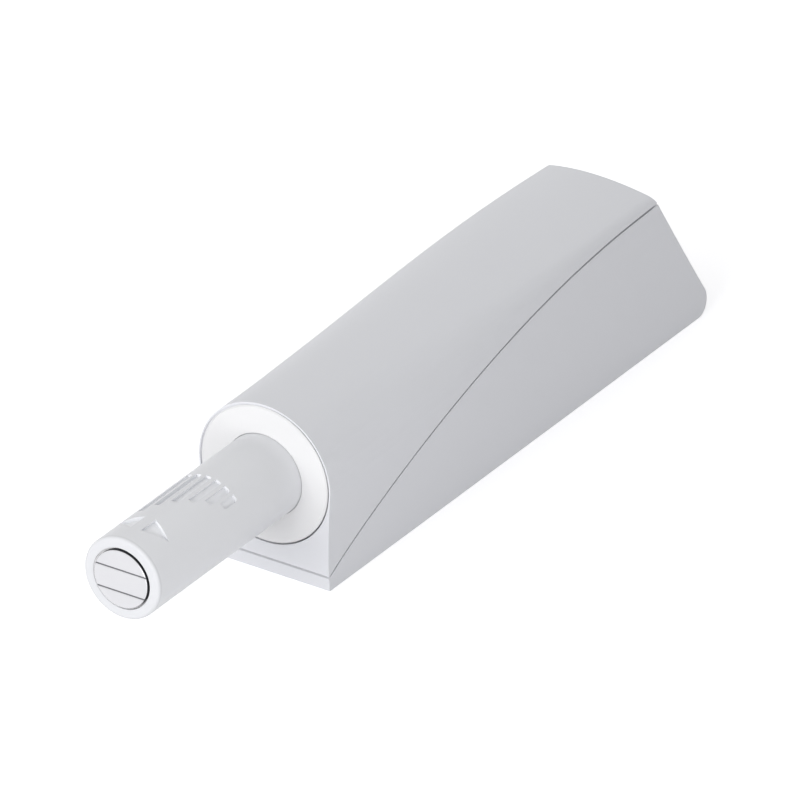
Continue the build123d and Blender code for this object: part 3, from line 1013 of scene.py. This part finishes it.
@dataclass
class Studio:
    """Floor, soft light and camera.

    Sizes are in metres, apart from the sensor's.
    """

    azimuth: float = 33.581  # degrees to the right of the front
    elevation: float = 29.127
    distance: float = 1 / 0.6
    aim_right: float = 11.971 * MM  # view centre from the origin, across the view
    aim_up: float = 15.068 * MM
    view_width: float = 70.88428 * MM  # what the picture spans at the origin
    sensor_width: float = 36.0  # millimetres
    clip_end: float = 10.0
    floor_size: float = 1.2
    floor_colour: str = "#E6E6E8"
    floor_lift: float = 0.45  # light that only the camera and reflections see
    world_strength: float = 0.485
    world_colour: str = "#FFFFFF"
    lamps: tuple[Sun | Softbox, ...] = (
        Sun("key", towards=(0.0, -0.95, 0.30), strength=1.63, angle=40.0),
        Sun("left_fill", towards=(-0.60, -0.65, 0.50), strength=0.60, angle=40.0),
        Sun("rear_fill", towards=(0.0, 0.80, 0.60), strength=0.60, angle=50.0),
        Softbox(
            "right_softbox",
            place=(0.12, -0.10, 0.02),
            aim=(0.0, -0.01, 0.01),
            side=0.08,
            power=0.073,
        ),
    )

    def build(self) -> None:
        """Set up the whole studio."""
        self.make_floor()
        self.make_world()
        for lamp in self.lamps:
            lamp.build()
        self.make_camera()
        bpy.context.scene.view_settings.view_transform = "Standard"

    def seen_by_eye_or_gloss(self, tree: bpy.types.NodeTree) -> bpy.types.NodeSocket:
        """Give 1 for rays from the camera and from glossy or clear surfaces, else 0.

        Args:
            tree: the node tree that asks.

        Returns:
            The answer's socket.
        """
        path = add_node(tree, "ShaderNodeLightPath")
        eye = add_node(
            tree,
            "ShaderNodeMath",
            links={0: path.outputs["Is Camera Ray"], 1: path.outputs["Is Glossy Ray"]},
            operation="MAXIMUM",
        )
        seen = add_node(
            tree,
            "ShaderNodeMath",
            links={0: eye.outputs[0], 1: path.outputs["Is Transmission Ray"]},
            operation="MAXIMUM",
        )
        return seen.outputs[0]

    def make_floor(self) -> None:
        """Lay a pale floor under the sole, which shows as white with a shadow."""
        half = self.floor_size / 2
        level = CAD_BOX[0][2]
        side = np.linspace(-half, half, 3)
        x, y = np.meshgrid(side, side, indexing="ij")
        points = np.stack([x, y, np.full_like(x, level)], axis=-1)
        mesh = grid_mesh("studio_floor", points, wrap_v=False)
        mesh.flip_normals()
        material, tree = new_material("pale_studio_floor")
        paper = add_node(
            tree, "ShaderNodeBsdfDiffuse", {"Color": linear(self.floor_colour)}
        )
        lift = add_node(
            tree,
            "ShaderNodeMath",
            {1: self.floor_lift},
            {0: self.seen_by_eye_or_gloss(tree)},
            operation="MULTIPLY",
        )
        white = add_node(
            tree,
            "ShaderNodeEmission",
            {"Color": (1.0, 1.0, 1.0, 1.0)},
            {"Strength": lift.outputs[0]},
        )
        both = add_node(
            tree,
            "ShaderNodeAddShader",
            links={0: paper.outputs[0], 1: white.outputs[0]},
        )
        add_node(tree, "ShaderNodeOutputMaterial", links={"Surface": both.outputs[0]})
        mesh.materials.append(material)
        floor = bpy.data.objects.new("studio_floor", mesh)
        bpy.context.scene.collection.objects.link(floor)

    def make_world(self) -> None:
        """Fill the room with even white light, and show it as white."""
        world = bpy.data.worlds.new("studio_world")
        world.use_nodes = True
        tree = world.node_tree
        tree.nodes.clear()
        strength = add_node(
            tree,
            "ShaderNodeMapRange",
            {"To Min": self.world_strength, "To Max": 1.0},
            {"Value": self.seen_by_eye_or_gloss(tree)},
        )
        air = add_node(
            tree,
            "ShaderNodeBackground",
            {"Color": linear(self.world_colour)},
            {"Strength": strength.outputs["Result"]},
        )
        add_node(tree, "ShaderNodeOutputWorld", links={"Surface": air.outputs[0]})
        bpy.context.scene.world = world

    def make_camera(self) -> None:
        """Place a long lens that looks down on the catch from its front right."""
        turned, raised = math.radians(self.azimuth), math.radians(self.elevation)
        right = Vector((math.cos(turned), math.sin(turned), 0.0))
        level = Vector((math.sin(turned), -math.cos(turned), 0.0))
        back = level * math.cos(raised) + Vector((0.0, 0.0, math.sin(raised)))
        up = back.cross(right)
        lens = bpy.data.cameras.new("product_camera")
        lens.sensor_width = self.sensor_width
        lens.lens = self.sensor_width * self.distance / self.view_width
        lens.clip_end = self.clip_end
        camera = bpy.data.objects.new("product_camera", lens)
        place = right * self.aim_right + up * self.aim_up + back * self.distance
        turn = Matrix((right, up, back)).transposed().to_4x4()
        camera.matrix_world = Matrix.Translation(place) @ turn
        bpy.context.scene.collection.objects.link(camera)
        bpy.context.scene.camera = camera


def main() -> None:
    """Build the sub-assemblies in order, then the studio."""
    logging.basicConfig(level=logging.INFO)
    for part in (
        Housing(),
        Cartridge(),
        EjectionSpring(),
        Latch(),
        Screw(),
        Plunger(),
        Studio(),
    ):
        part.build()


if __name__ == "__main__":
    main()
